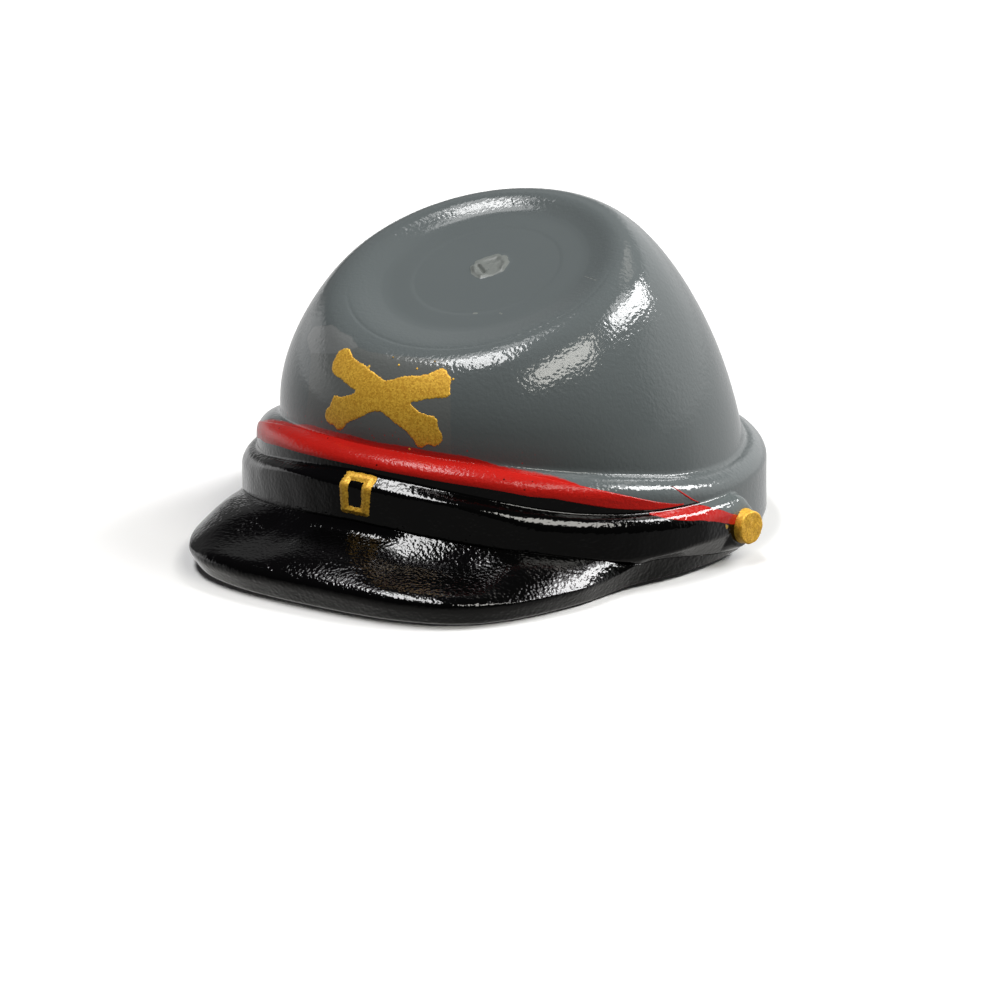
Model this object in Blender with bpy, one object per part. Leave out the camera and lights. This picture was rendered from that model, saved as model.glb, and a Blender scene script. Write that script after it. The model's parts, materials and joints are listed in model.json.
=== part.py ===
"""Kepi cap of a toy figure, about 13 mm wide.

Lengths in the tables are millimetres. The cap faces -Y, +X is the wearer's
left and the rim plane is the plane z = 0 of the tables. Azimuths are degrees
from the front, the same on both sides, because the cap is symmetric.
"""
from collections import namedtuple

import bmesh
import bpy
import numpy as np
from mathutils import Matrix

MM = 0.001
GAP = 0.03              # clearance between neighbouring pieces
STATIONS = 60           # sections round the crown

BAND_RADIUS = 6.36
RIM_RADIUS = 6.27
CREASE_RADIUS = 5.78    # where the crown wall meets the roll
BORE_RADIUS = 5.2       # hollow for the head, at the rim
BORE_HEIGHT = 1.5
WALL = 0.95             # crown wall
CEILING = 4.25          # flat inner ceiling above the rim plane

ROLL_DROP = 0.5         # height of the rounded top edge of the roll
PIPING_THICK = 0.10

STRAP_RADIUS = 6.74     # outer face of the chin strap
BUTTON_AZIMUTH = 93.5
BUTTON_HEIGHT = 0.84
BUTTON_RADIUS = 0.42
BUTTON_THICK = 0.30
TAB_RADIUS = 0.60       # round end of the strap, around the button
TAB_HEIGHT = 0.92
PEAK_END = 76.0         # azimuth where the peak runs out on the band
PEAK_WALL = 0.80        # depth of the peak where it leaves the band

DISC_FORWARD = 1.406    # centre of the crown's top edge
DISC_HEIGHT = 6.698
DISC_TILT = 20.43
DISC_RADIUS = 3.739

Base = namedtuple("Base", "azimuth crease stripe ledge face foot")
BASE = [  # heights over the rim: crown crease, lower edge of the red stripe,
          # strap's ledge at the band, strap's face top, strap's foot
    Base(0,   3.19, 2.93, 2.70, 2.48, 1.54),
    Base(10,  3.18, 2.90, 2.64, 2.44, 1.48),
    Base(20,  3.13, 2.82, 2.51, 2.36, 1.36),
    Base(30,  3.06, 2.70, 2.33, 2.19, 1.22),
    Base(40,  2.95, 2.49, 2.11, 1.97, 1.05),
    Base(50,  2.81, 2.21, 1.92, 1.82, 0.87),
    Base(60,  2.66, 1.94, 1.79, 1.70, 0.70),
    Base(70,  2.49, 1.78, 1.71, 1.60, 0.71),
    Base(80,  2.30, 1.74, 1.67, 1.53, 0.77),
    Base(95,  2.13, 1.70, 1.63, 1.52, 0.77),
    Base(110, 2.07, 1.68, 1.60, 1.50, 0.77),
    Base(140, 2.09, 1.66, 1.58, 1.50, 0.77),
    Base(180, 2.12, 1.66, 1.58, 1.50, 0.77),
]

Wall = namedtuple("Wall", "side lean rise flat")
WALL_FRONT = Wall("front", -9.25, 1.21, 0.21)  # lean in degrees at the crease,
WALL_BACK = Wall("back", 15.05, 4.49, 0.52)    # lengths of the curve's handles

Top = namedtuple("Top", "name radius shift rise")
TOP = [  # rings of the sunk top, in the tilted plane of its edge
    Top("rim_crest", 3.52, -0.03, 0.045),
    Top("rim_inside", 3.28, -0.10, 0.010),
    Top("recess_edge", 3.10, -0.16, -0.090),
    Top("floor_edge", 2.90, -0.20, -0.140),
    Top("inner_ring", 1.90, -0.28, -0.150),
    Top("inner_floor", 1.80, -0.30, -0.175),
]

Edge = namedtuple("Edge", "azimuth low_radius low_height high_radius high_height")
PEAK_EDGE = [  # lower and upper corner of the peak's edge, from the cap's axis
    Edge(0, 8.50, -0.23, 8.88, 0.40),
    Edge(8, 8.55, -0.23, 8.93, 0.38),
    Edge(15, 8.66, -0.22, 9.03, 0.34),
    Edge(22, 8.71, -0.21, 9.07, 0.32),
    Edge(29, 8.56, -0.21, 8.90, 0.31),
    Edge(34, 8.27, -0.20, 8.60, 0.31),
    Edge(39, 7.92, -0.18, 8.24, 0.32),
    Edge(44, 7.55, -0.16, 7.86, 0.33),
    Edge(49, 7.21, -0.13, 7.50, 0.34),
    Edge(54, 6.84, -0.10, 7.08, 0.37),
    Edge(60, 6.52, -0.04, 6.72, 0.44),
    Edge(66, 6.43, 0.0, 6.58, 0.50),
    Edge(PEAK_END, 6.42, 0.0, 6.43, 0.42),
]

Barrel = namedtuple("Barrel", "name along half_width")
CANNON = [  # outline of one cannon, from its crossing point, muzzle at plus
    Barrel("muzzle", 2.22, 0.27),
    Barrel("muzzle_swell", 2.04, 0.35),
    Barrel("muzzle_neck", 1.74, 0.28),
    Barrel("chase", 1.00, 0.27),
    Barrel("middle", 0.0, 0.31),
    Barrel("reinforce", -1.00, 0.33),
    Barrel("breech_ring", -1.24, 0.42),
    Barrel("breech", -1.46, 0.38),
    Barrel("knob_neck", -1.55, 0.18),
    Barrel("knob", -1.70, 0.21),
    Barrel("knob_end", -1.85, 0.09),
]
CANNON_ANGLE = 20.5     # each cannon from the horizontal
CANNON_HEIGHT = 0.345   # origin of the badge, as a share of the crown wall
CANNON_RISE = -0.03     # crossing point above that origin
BADGE_THICK = 0.08

BUCKLE_WIDTH = 0.92     # outside, across the strap
BUCKLE_FRAME = 0.23
BUCKLE_THICK = 0.08
BUCKLE_LOW = 0.17       # lower edge above the strap's foot
BUCKLE_HIGH = 1.30      # upper edge, measured over the strap's ledge


def column(rows, name, azimuth):
    """Smooth cubic through one column of a table, even about 0 and 180."""
    a = np.abs((np.asarray(azimuth, float) + 180.0) % 360.0 - 180.0)
    x = np.array([row.azimuth for row in rows], float)
    y = np.array([getattr(row, name) for row in rows], float)
    step = np.diff(x)
    slope = np.diff(y) / step
    m = np.zeros_like(y)
    same = slope[1:] * slope[:-1] > 0
    m[1:-1][same] = 2 * slope[1:][same] * slope[:-1][same] / (
        slope[1:][same] + slope[:-1][same])
    if x[-1] < 179:
        m[-1] = slope[-1]
    k = np.clip(np.searchsorted(x, a, side="right") - 1, 0, len(step) - 1)
    t = np.clip((a - x[k]) / step[k], 0, 1)
    h = step[k]
    return ((2*t**3 - 3*t**2 + 1) * y[k] + (t**3 - 2*t**2 + t) * h * m[k]
            + (3*t**2 - 2*t**3) * y[k+1] + (t**3 - t**2) * h * m[k+1])


def polar(azimuth, radius, height):
    """Point at an azimuth in degrees; the front of the cap is -Y."""
    a = np.radians(azimuth)
    a, r, z = np.broadcast_arrays(a, radius, height)
    return np.stack([r * np.sin(a), -r * np.cos(a), z], -1)


def disc_frame(azimuth):
    """Centre, outward direction and normal of the tilted top at an azimuth."""
    a = np.radians(np.asarray(azimuth, float))
    tilt = np.radians(DISC_TILT)
    centre = np.array([0.0, -DISC_FORWARD, DISC_HEIGHT])
    out = np.stack([np.sin(a), -np.cos(a) * np.cos(tilt),
                    -np.cos(a) * np.sin(tilt)], -1)
    forward = np.array([0.0, -np.cos(tilt), -np.sin(tilt)])
    normal = np.array([0.0, -np.sin(tilt), np.cos(tilt)])
    return centre, out, forward, normal


def crown_wall(azimuth, share):
    """Cubic from the crease to the edge of the top, share 0 to 1."""
    azimuth, share = np.broadcast_arrays(np.asarray(azimuth, float), share)
    front = (1 + np.cos(np.radians(azimuth))) / 2
    lean = np.radians(WALL_BACK.lean + (WALL_FRONT.lean - WALL_BACK.lean) * front)
    rise = WALL_BACK.rise + (WALL_FRONT.rise - WALL_BACK.rise) * front
    flat = WALL_BACK.flat + (WALL_FRONT.flat - WALL_BACK.flat) * front
    foot = polar(azimuth, CREASE_RADIUS, column(BASE, "crease", azimuth))
    centre, out, _, _ = disc_frame(azimuth)
    edge = centre + DISC_RADIUS * out
    radial = polar(azimuth, 1.0, 0.0)
    start = (-np.sin(lean)[..., None] * radial
             + np.cos(lean)[..., None] * np.array([0, 0, 1.0]))
    one = foot + rise[..., None] * start
    two = edge + flat[..., None] * out
    t = share[..., None]
    return ((1-t)**3 * foot + 3*(1-t)**2*t * one
            + 3*(1-t)*t**2 * two + t**3 * edge)


def roll(azimuth, share, inset=0.0):
    """Rounded top edge of the roll, from the crease (0) to the stripe's foot (1)."""
    azimuth, share = np.broadcast_arrays(np.asarray(azimuth, float), share)
    crease = column(BASE, "crease", azimuth)
    stripe = column(BASE, "stripe", azimuth)
    drop = np.minimum(ROLL_DROP, crease - stripe + 0.05)
    bend = 0.75
    turn = np.clip(share / bend, 0, 1) * np.pi / 2
    width = BAND_RADIUS - CREASE_RADIUS
    radius = CREASE_RADIUS + width * np.sin(turn)
    height = crease - drop * (1 - np.cos(turn))
    straight = np.clip((share - bend) / (1 - bend), 0, 1)
    low = np.minimum(stripe, crease - drop - 0.02)
    height = height + straight * (low - (crease - drop))
    norm_r = np.sin(turn) / width
    norm_z = np.cos(turn) / drop
    size = np.hypot(norm_r, norm_z)
    return polar(azimuth, radius - inset * norm_r / size,
                 height - inset * norm_z / size)


def piping_top(azimuth):
    """Upper edge of the red stripe on the roll: at the crease, then down to a point."""
    a = np.abs(azimuth)
    return 0.03 + 0.92 * np.clip((a - 26.0) / 52.0, 0, 1) ** 1.15


PIPING_END = 77.0


def rebate(azimuth):
    """1 where the roll makes room for the piping, 0 behind it."""
    a = np.abs((np.asarray(azimuth, float) + 180.0) % 360.0 - 180.0)
    return np.clip((PIPING_END + 9.0 - a) / 6.0, 0, 1)


def add_object(name, points, faces, colour, roughness, metallic=0.0, smooth=35):
    mesh = bpy.data.meshes.new(name)
    mesh.from_pydata([tuple(float(v) * MM for v in p) for p in points], [],
                     [tuple(int(i) for i in f) for f in faces])
    mesh.validate()
    bm = bmesh.new()
    bm.from_mesh(mesh)
    bmesh.ops.remove_doubles(bm, verts=bm.verts, dist=1e-7)
    bmesh.ops.recalc_face_normals(bm, faces=bm.faces)
    if bm.calc_volume(signed=True) < 0:
        bmesh.ops.reverse_faces(bm, faces=bm.faces)
    bmesh.ops.triangulate(bm, faces=bm.faces)
    bm.to_mesh(mesh)
    bm.free()
    mesh.shade_smooth()
    mesh.set_sharp_from_angle(angle=np.radians(smooth))
    material = bpy.data.materials.new(name)
    material.use_nodes = True
    shader = material.node_tree.nodes["Principled BSDF"]
    shader.inputs["Base Color"].default_value = (*colour, 1.0)
    shader.inputs["Roughness"].default_value = roughness
    shader.inputs["Metallic"].default_value = metallic
    mesh.materials.append(material)
    thing = bpy.data.objects.new(name, mesh)
    bpy.context.collection.objects.link(thing)
    return thing


def tube_faces(rows, columns, closed_rows=True, closed_columns=True):
    """Quads of a grid of rows x columns points, wrapped where it is closed."""
    faces = []
    for i in range(rows if closed_rows else rows - 1):
        for j in range(columns if closed_columns else columns - 1):
            a = i * columns + j
            b = i * columns + (j + 1) % columns
            c = ((i + 1) % rows) * columns + (j + 1) % columns
            d = ((i + 1) % rows) * columns + j
            faces.append((a, b, c, d))
    return faces


def lofted(name, sections, **look):
    """Solid through closed sections (an array sections x points x 3) with flat ends."""
    rows, count = sections.shape[:2]
    faces = tube_faces(rows, count, closed_rows=False)
    faces.append(tuple(range(count))[::-1])
    faces.append(tuple((rows - 1) * count + k for k in range(count)))
    return add_object(name, sections.reshape(-1, 3), faces, **look)


def build_crown(**look):
    azimuth = np.arange(STATIONS) * 360.0 / STATIONS
    inset = (PIPING_THICK + GAP) * rebate(azimuth)
    ceiling_share = 0.42
    rings = []
    for radius in (0.55, 0.9):                       # flat ceiling
        rings.append(polar(azimuth, 4.15 * radius, CEILING))
    inner = []
    for share in (0.30, 0.16, 0.05):                 # inside of the crown wall
        point = crown_wall(azimuth, share)
        radius = np.hypot(point[:, 0], point[:, 1])
        inner.append((radius - WALL, point[:, 2] - 0.25))
    top_radius = np.minimum(inner[0][0], 4.9) - 0.08
    rings.append(polar(azimuth, top_radius - 0.25, CEILING))
    rings.append(polar(azimuth, top_radius, CEILING - 0.25))
    for radius, height in inner[1:]:
        rings.append(polar(azimuth, np.minimum(radius + 0.05, BORE_RADIUS - 0.05), height))
    rings.append(polar(azimuth, BORE_RADIUS, BORE_HEIGHT))
    rings.append(polar(azimuth, BORE_RADIUS, 0.06))
    rings.append(polar(azimuth, BORE_RADIUS + 0.06, 0.0))
    rings.append(polar(azimuth, RIM_RADIUS - 0.10, 0.0))
    rings.append(polar(azimuth, RIM_RADIUS, 0.08))
    rings.append(polar(azimuth, BAND_RADIUS, 0.42))
    stripe = column(BASE, "stripe", azimuth)
    rings.append(polar(azimuth, BAND_RADIUS, stripe - 0.10 - 0.02))
    for share in (1.0, 0.75, 0.56, 0.38, 0.2):
        rings.append(roll(azimuth, share, inset))
    rings.append(polar(azimuth, CREASE_RADIUS + 0.02,
                       column(BASE, "crease", azimuth) - inset))
    for share in (0.06, 0.13, 0.2, 0.28, 0.36, 0.45, 0.54, 0.63, 0.72, 0.8, 0.88, 0.95):
        rings.append(crown_wall(azimuth, share))
    centre, out, forward, normal = disc_frame(azimuth)
    rings.append(centre + DISC_RADIUS * out)
    for row in TOP:
        rings.append(centre + row.radius * out + row.shift * forward + row.rise * normal)
    last = TOP[-1]
    points = np.concatenate(rings)
    faces = [tuple(range(STATIONS))[::-1]]
    faces += tube_faces(len(rings), STATIONS, closed_rows=False)
    tip = len(points)
    points = np.vstack([points, centre + (last.shift - 0.05) * forward + last.rise * normal])
    ring = (len(rings) - 1) * STATIONS
    for j in range(STATIONS):
        faces.append((ring + j, ring + (j + 1) % STATIONS, tip))
    return add_object("crown", points, faces, **look)


def build_piping(**look):
    azimuth = np.linspace(-PIPING_END, PIPING_END, 45)
    top = piping_top(azimuth)
    outer, inner = [], []
    for k in range(7):
        share = top + (1 - top) * k / 6
        outer.append(roll(azimuth, share))
        inner.append(roll(azimuth, share, PIPING_THICK))
    sections = np.stack(outer + inner[::-1], 1)
    return lofted("piping", sections, **look)


def strap_edges(azimuth):
    """Ledge, face top and foot of the strap, with its round ends at the buttons."""
    a = np.abs(azimuth)
    ledge = column(BASE, "ledge", a)
    face = column(BASE, "face", a)
    foot = column(BASE, "foot", a)
    away = (a - BUTTON_AZIMUTH) * np.pi / 180 * STRAP_RADIUS
    half = np.sqrt(np.clip(TAB_RADIUS**2 - away**2, 0, None))
    tab_foot = TAB_HEIGHT - half
    tab_top = TAB_HEIGHT + half
    foot = np.where(np.abs(away) < TAB_RADIUS, np.minimum(foot, tab_foot), foot)
    past = a > BUTTON_AZIMUTH
    foot = np.where(past, tab_foot, foot)
    face = np.where(past, tab_top, face)
    ledge = np.where(past, tab_top + 0.10 * half / TAB_RADIUS, ledge)
    return ledge, face, foot


STRAP_END = BUTTON_AZIMUTH + 0.985 * np.degrees(TAB_RADIUS / STRAP_RADIUS)


def build_strap(**look):
    side = np.concatenate([
        np.linspace(0, 80, 17), [84, 86.5, 88, 89.5, 91.5, 93.5, 95.5, 97, 98.4, STRAP_END]])
    azimuth = np.concatenate([-side[:0:-1], side])
    ledge, face, foot = strap_edges(azimuth)
    inner = BAND_RADIUS + GAP
    height = ledge - foot
    soft = np.minimum(0.10, height * 0.2)
    sections = np.stack([
        polar(azimuth, inner, foot),
        polar(azimuth, STRAP_RADIUS - 0.05, foot),
        polar(azimuth, STRAP_RADIUS, foot + soft * 0.5),
        polar(azimuth, STRAP_RADIUS, face - soft),
        polar(azimuth, STRAP_RADIUS - 0.04, face - soft * 0.3),
        polar(azimuth, STRAP_RADIUS - 0.12, face),
        polar(azimuth, inner, ledge),
    ], 1)
    return lofted("chin_strap", sections, **look)


def build_peak(**look):
    azimuth = np.concatenate([np.linspace(0, 60, 17), [63, 66, 69, 72.5, PEAK_END]])
    azimuth = np.concatenate([-azimuth[:0:-1], azimuth])
    edge = {name: column(PEAK_EDGE, name, azimuth) for name in Edge._fields[1:]}
    inner = BAND_RADIUS + GAP
    top = column(BASE, "foot", azimuth) - GAP
    base = np.minimum(STRAP_RADIUS, edge["high_radius"] - 0.01)
    width = edge["high_radius"] - base
    bulge = 0.14 * np.clip(width / 1.2, 0, 1)
    under = np.maximum(top - PEAK_WALL, edge["low_height"] + 0.01)
    rows = [(inner, under), (inner, top)]
    for share in (0.0, 0.28, 0.56, 0.80):
        height = top + (edge["high_height"] - top) * share + bulge * np.sin(np.pi * share)
        rows.append((base + width * share, height))
    soft = np.minimum(0.12, width * 0.15 + 0.01)
    rows.append((edge["high_radius"] - soft, edge["high_height"] + 0.03))
    rows.append((edge["high_radius"], edge["high_height"] - 0.10))
    rows.append((edge["low_radius"] + 0.03 * width, edge["low_height"] + 0.08))
    rows.append((edge["low_radius"] - 0.04 * np.clip(width, 0, 1), edge["low_height"]))
    for share in (0.4, 0.75):
        fall = (edge["low_height"] - under) * (1 - share) + under
        lift = 0.5 * bulge * np.sin(np.pi * share)
        rows.append((edge["low_radius"] + (inner - edge["low_radius"]) * share, fall + lift))
    sections = np.stack([polar(azimuth, r, z) for r, z in rows], 1)
    return lofted("peak", sections, **look)


def build_button(name, side, **look):
    turns = 20
    a = np.arange(turns) * 2 * np.pi / turns
    rows = [(0.0, 0.86), (0.16, 0.96), (0.24, 1.0), (BUTTON_THICK - 0.04, 0.97), (BUTTON_THICK, 0.88)]
    azimuth = np.radians(BUTTON_AZIMUTH)
    out = np.array([side * np.sin(azimuth), -np.cos(azimuth), 0.0])
    along = np.array([side * np.cos(azimuth), np.sin(azimuth), 0.0])
    centre = out * (STRAP_RADIUS + GAP) + np.array([0, 0, BUTTON_HEIGHT])
    sections = []
    for lift, share in rows:
        ring = (np.cos(a)[:, None] * along + np.sin(a)[:, None] * np.array([0, 0, 1.0]))
        sections.append(centre + lift * out + BUTTON_RADIUS * share * ring)
    return lofted(name, np.stack(sections), **look)


def strap_skin(across, along, lift):
    """Point over the strap at its front: along 0 is the face's foot and upwards
    over the rounded edge on to the ledge; lift is measured outwards."""
    azimuth = np.degrees(across / STRAP_RADIUS)
    ledge, face, foot = strap_edges(azimuth)
    rise = face - foot
    on_face = np.minimum(along, rise - 0.06)
    past = np.clip(along - on_face, 0, None)
    slope = np.arctan2(ledge - face, STRAP_RADIUS - 0.12 - BAND_RADIUS)
    bend = np.clip(past / 0.16, 0, 1)
    turn = bend * (np.pi / 2 - slope)
    radius = STRAP_RADIUS + lift * np.cos(turn) - 0.10 * bend**2
    radius = radius - np.clip(past - 0.16, 0, None) * np.cos(slope)
    height = foot + on_face + 0.07 * bend + lift * np.sin(turn)
    height = height + np.clip(past - 0.16, 0, None) * np.sin(slope)
    return polar(azimuth, radius, height)


def build_buckle(**look):
    """Rectangular frame painted round the strap: a ring of four bars."""
    half = BUCKLE_WIDTH / 2
    low, high = BUCKLE_LOW, BUCKLE_HIGH
    inner_half = half - BUCKLE_FRAME
    inner_low, inner_high = low + BUCKLE_FRAME, high - BUCKLE_FRAME * 1.15
    per_side = 6
    def loop(h, a, b):
        s = np.linspace(0, 1, per_side, endpoint=False)
        xs = np.concatenate([-h + 2*h*s, h + 0*s, h - 2*h*s, -h + 0*s])
        ys = np.concatenate([a + 0*s, a + (b-a)*s, b + 0*s, b - (b-a)*s])
        return xs, ys
    outer, inner = loop(half, low, high), loop(inner_half, inner_low, inner_high)
    low_lift, high_lift = GAP, GAP + BUCKLE_THICK
    corners = [strap_skin(outer[0], outer[1], low_lift), strap_skin(outer[0], outer[1], high_lift),
               strap_skin(inner[0], inner[1], high_lift), strap_skin(inner[0], inner[1], low_lift)]
    sections = np.stack(corners, 1)
    faces = tube_faces(len(sections), 4)
    return add_object("buckle", sections.reshape(-1, 3), faces, **look)


def cannon_outline():
    upper = [(row.along, row.half_width) for row in CANNON]
    lower = [(row.along, -row.half_width) for row in CANNON[::-1]]
    return np.array(upper + lower)


def badge_skin(across, up, lift):
    """Point over the front of the crown wall: across is millimetres sideways,
    up is millimetres along the wall from the badge's crossing point."""
    shares = np.linspace(0.0, 0.9, 91)
    front = crown_wall(0.0, shares)
    length = np.concatenate([[0], np.cumsum(np.linalg.norm(np.diff(front, axis=0), axis=1))])
    start = np.interp(CANNON_HEIGHT, shares, length)
    share = np.interp(start + up, length, shares)
    near = crown_wall(0.0 * share, share)
    azimuth = np.degrees(across / np.hypot(near[..., 0], near[..., 1]))
    point = crown_wall(azimuth, share)
    side = crown_wall(azimuth + 0.5, share) - crown_wall(azimuth - 0.5, share)
    rise = crown_wall(azimuth, share + 0.01) - crown_wall(azimuth, share - 0.01)
    normal = np.cross(side, rise)
    normal /= np.linalg.norm(normal, axis=-1, keepdims=True)
    return point + lift[..., None] * normal


def build_badge(**look):
    """Two crossed cannons, joined flat and then laid over the crown's front."""
    prisms = []
    for k, side in enumerate((1, -1)):
        outline = cannon_outline()
        angle = np.radians(180 - CANNON_ANGLE if side < 0 else CANNON_ANGLE)
        if side < 0:
            outline = outline * np.array([1, -1])
        turn = np.array([[np.cos(angle), np.sin(angle)], [-np.sin(angle), np.cos(angle)]])
        flat = outline @ turn + np.array([0, CANNON_RISE])
        low, high = (-0.5, 0.5) if k == 0 else (-0.6, 0.6)
        count = len(flat)
        points = ([(x, y, low) for x, y in flat] + [(x, y, high) for x, y in flat])
        faces = [tuple(range(count))[::-1], tuple(range(count, 2*count))]
        faces += [(i, (i+1) % count, count + (i+1) % count, count + i) for i in range(count)]
        prisms.append(add_object(f"cannon_{k}", points, faces, **look))
    first, second = prisms
    union = first.modifiers.new("union", "BOOLEAN")
    union.operation = "UNION"
    union.object = second
    bpy.context.view_layer.update()
    shape = first.evaluated_get(bpy.context.evaluated_depsgraph_get())
    bm = bmesh.new()
    bm.from_mesh(shape.to_mesh())
    trim = bmesh.ops.bisect_plane(
        bm, geom=bm.verts[:] + bm.edges[:] + bm.faces[:], plane_co=(0, 0, 0.4 * MM),
        plane_no=(0, 0, 1), clear_outer=True, dist=1e-9)
    bmesh.ops.holes_fill(bm, edges=[e for e in trim["geom_cut"] if isinstance(e, bmesh.types.BMEdge)])
    trim = bmesh.ops.bisect_plane(
        bm, geom=bm.verts[:] + bm.edges[:] + bm.faces[:], plane_co=(0, 0, -0.4 * MM),
        plane_no=(0, 0, 1), clear_inner=True, dist=1e-9)
    bmesh.ops.holes_fill(bm, edges=[e for e in trim["geom_cut"] if isinstance(e, bmesh.types.BMEdge)])
    for axis in (0, 1):
        for cut in np.arange(-2.4, 2.41, 0.4) * MM:
            place, facing = [0, 0, 0], [0, 0, 0]
            place[axis], facing[axis] = cut + 1.7e-6, 1
            bmesh.ops.bisect_plane(bm, geom=bm.verts[:] + bm.edges[:] + bm.faces[:],
                                   plane_co=place, plane_no=facing, dist=1e-9)
    bmesh.ops.triangulate(bm, faces=bm.faces)
    flat = np.array([v.co[:] for v in bm.verts]) / MM
    lift = np.where(flat[:, 2] > 0, GAP + BADGE_THICK, GAP)
    faces = [[v.index for v in f.verts] for f in bm.faces]
    bm.free()
    for prism in prisms:
        bpy.data.objects.remove(prism)
    points = badge_skin(flat[:, 0], flat[:, 1], lift)
    return add_object("cannon_badge", points, faces, **look)


def rest_tilt():
    """Angle by which the cap leans back when its peak's tip meets the floor."""
    azimuth = np.linspace(0, 40, 41)
    radius = column(PEAK_EDGE, "low_radius", azimuth) - 0.04
    dip = -column(PEAK_EDGE, "low_height", azimuth)
    behind = RIM_RADIUS - 0.10
    forward = radius * np.cos(np.radians(azimuth))
    return np.max(np.arctan2(dip, forward + behind)), behind


def main():
    for thing in list(bpy.data.objects):
        bpy.data.objects.remove(thing)
    grey = dict(colour=(0.135, 0.165, 0.165), roughness=0.28)
    red = dict(colour=(0.48, 0.012, 0.009), roughness=0.3)
    black = dict(colour=(0.004, 0.004, 0.004), roughness=0.2)
    gold = dict(colour=(0.45, 0.27, 0.05), roughness=0.38, metallic=0.8)
    things = [
        build_crown(**grey),
        build_piping(**red),
        build_strap(**black),
        build_peak(**black),
        build_buckle(**gold),
        build_button("button_left", 1, **gold),
        build_button("button_right", -1, **gold),
        build_badge(**gold),
    ]
    tilt, behind = rest_tilt()
    stand = bpy.data.objects.new("stand", None)
    bpy.context.collection.objects.link(stand)
    # The cap leans back about the rear of its rim until the peak's tip is level.
    pivot = Matrix.Translation((0, behind * MM, 0))
    turn = pivot @ Matrix.Rotation(-tilt, 4, "X") @ pivot.inverted()
    stand.matrix_world = turn
    for thing in things:
        thing.parent = stand
    bpy.context.view_layer.update()
    corners = np.array([(thing.matrix_world @ v.co)[:] for thing in things
                        for v in thing.data.vertices])
    low, high = corners.min(0), corners.max(0)
    shift = Matrix.Translation((0, -(low[1] + high[1]) / 2, -low[2]))
    stand.matrix_world = shift @ turn
    bpy.context.view_layer.update()


main()
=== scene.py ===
# Kepi cap of a toy figure: one glossy moulding about 14 mm wide, painted by hand.
# Lengths in the dictionaries are millimetres. The cap faces -Y, +X is the wearer's left,
# z = 0 is the plane of its rim, and azimuths are degrees from the front.
import json
import bpy
import numpy as np
from mathutils import Matrix


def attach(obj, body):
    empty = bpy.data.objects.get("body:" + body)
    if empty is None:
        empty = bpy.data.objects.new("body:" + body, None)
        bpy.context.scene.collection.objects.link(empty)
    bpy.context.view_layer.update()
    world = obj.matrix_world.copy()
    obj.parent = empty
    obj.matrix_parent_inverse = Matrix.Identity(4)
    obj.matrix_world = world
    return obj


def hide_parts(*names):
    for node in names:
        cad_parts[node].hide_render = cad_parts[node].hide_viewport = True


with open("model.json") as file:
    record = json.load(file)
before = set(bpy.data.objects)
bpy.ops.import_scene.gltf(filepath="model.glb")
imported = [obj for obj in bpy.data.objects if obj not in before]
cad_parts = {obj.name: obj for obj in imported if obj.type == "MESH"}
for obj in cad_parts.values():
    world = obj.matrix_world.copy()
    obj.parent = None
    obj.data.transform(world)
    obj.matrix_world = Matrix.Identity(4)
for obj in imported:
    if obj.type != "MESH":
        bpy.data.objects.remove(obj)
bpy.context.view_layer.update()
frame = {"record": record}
millimetre = 0.001

# where the cap stands

# the head seat, the middle of the hollow's ceiling, gives the resting cap's place and lean
seatMount = next(m for m in frame["record"]["mounts"] if m["name"] == "head_seat")
xAxis, zAxis = np.eye(3)[[0, 2]]
upAxis = -np.array(seatMount["axis"])
backAxis = np.cross(upAxis, xAxis)
seatPlace = np.array(seatMount["pos_m"])

collar = {
    "ceiling": 4.25,  # head seat over the rim plane
    "bandRadius": 6.36, "rimRadius": 6.27,
    "creaseRadius": 5.78,  # foot of the crown wall, on top of the roll
    "rollDrop": 0.5,  # height of the roll's rounded top
    "rollBend": 0.75,  # the rounded top's share of the roll
    "boreRadius": 5.2, "wall": 0.95,
}

# heights over the rim: the crown's crease, the stripe's lower edge and the strap's parts
collarHeights = {
    "azimuth": [0, 10, 20, 30, 40, 50, 60, 70, 80, 95, 110, 140, 180],
    "crease": [3.19, 3.18, 3.13, 3.06, 2.95, 2.81, 2.66, 2.49, 2.3, 2.13, 2.07, 2.09, 2.12],
    "stripe": [2.93, 2.9, 2.82, 2.7, 2.49, 2.21, 1.94, 1.78, 1.74, 1.7, 1.68, 1.66, 1.66],
    "ledge": [2.7, 2.64, 2.51, 2.33, 2.11, 1.92, 1.79, 1.71, 1.67, 1.63, 1.6, 1.58, 1.58],
    "face": [2.48, 2.44, 2.36, 2.19, 1.97, 1.82, 1.7, 1.6, 1.53, 1.52, 1.5, 1.5, 1.5],
    "foot": [1.54, 1.48, 1.36, 1.22, 1.05, .87, .7, .71, .77, .77, .77, .77, .77],
}


def toFrame(points):
    # from the tables' millimetres to the frame's metres
    x, y, z = np.moveaxis(np.asarray(points, float) * millimetre, -1, 0)
    lift = z - collar["ceiling"] * millimetre
    return seatPlace + x[..., None] * xAxis + y[..., None] * backAxis + lift[..., None] * upAxis


def polar(azimuth, radius, height):
    # a point from its azimuth, its distance from the cap's axis and its height
    azimuth, radius, height = np.broadcast_arrays(np.radians(azimuth), radius, height)
    return np.stack([radius * np.sin(azimuth), -radius * np.cos(azimuth), height], -1)


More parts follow.
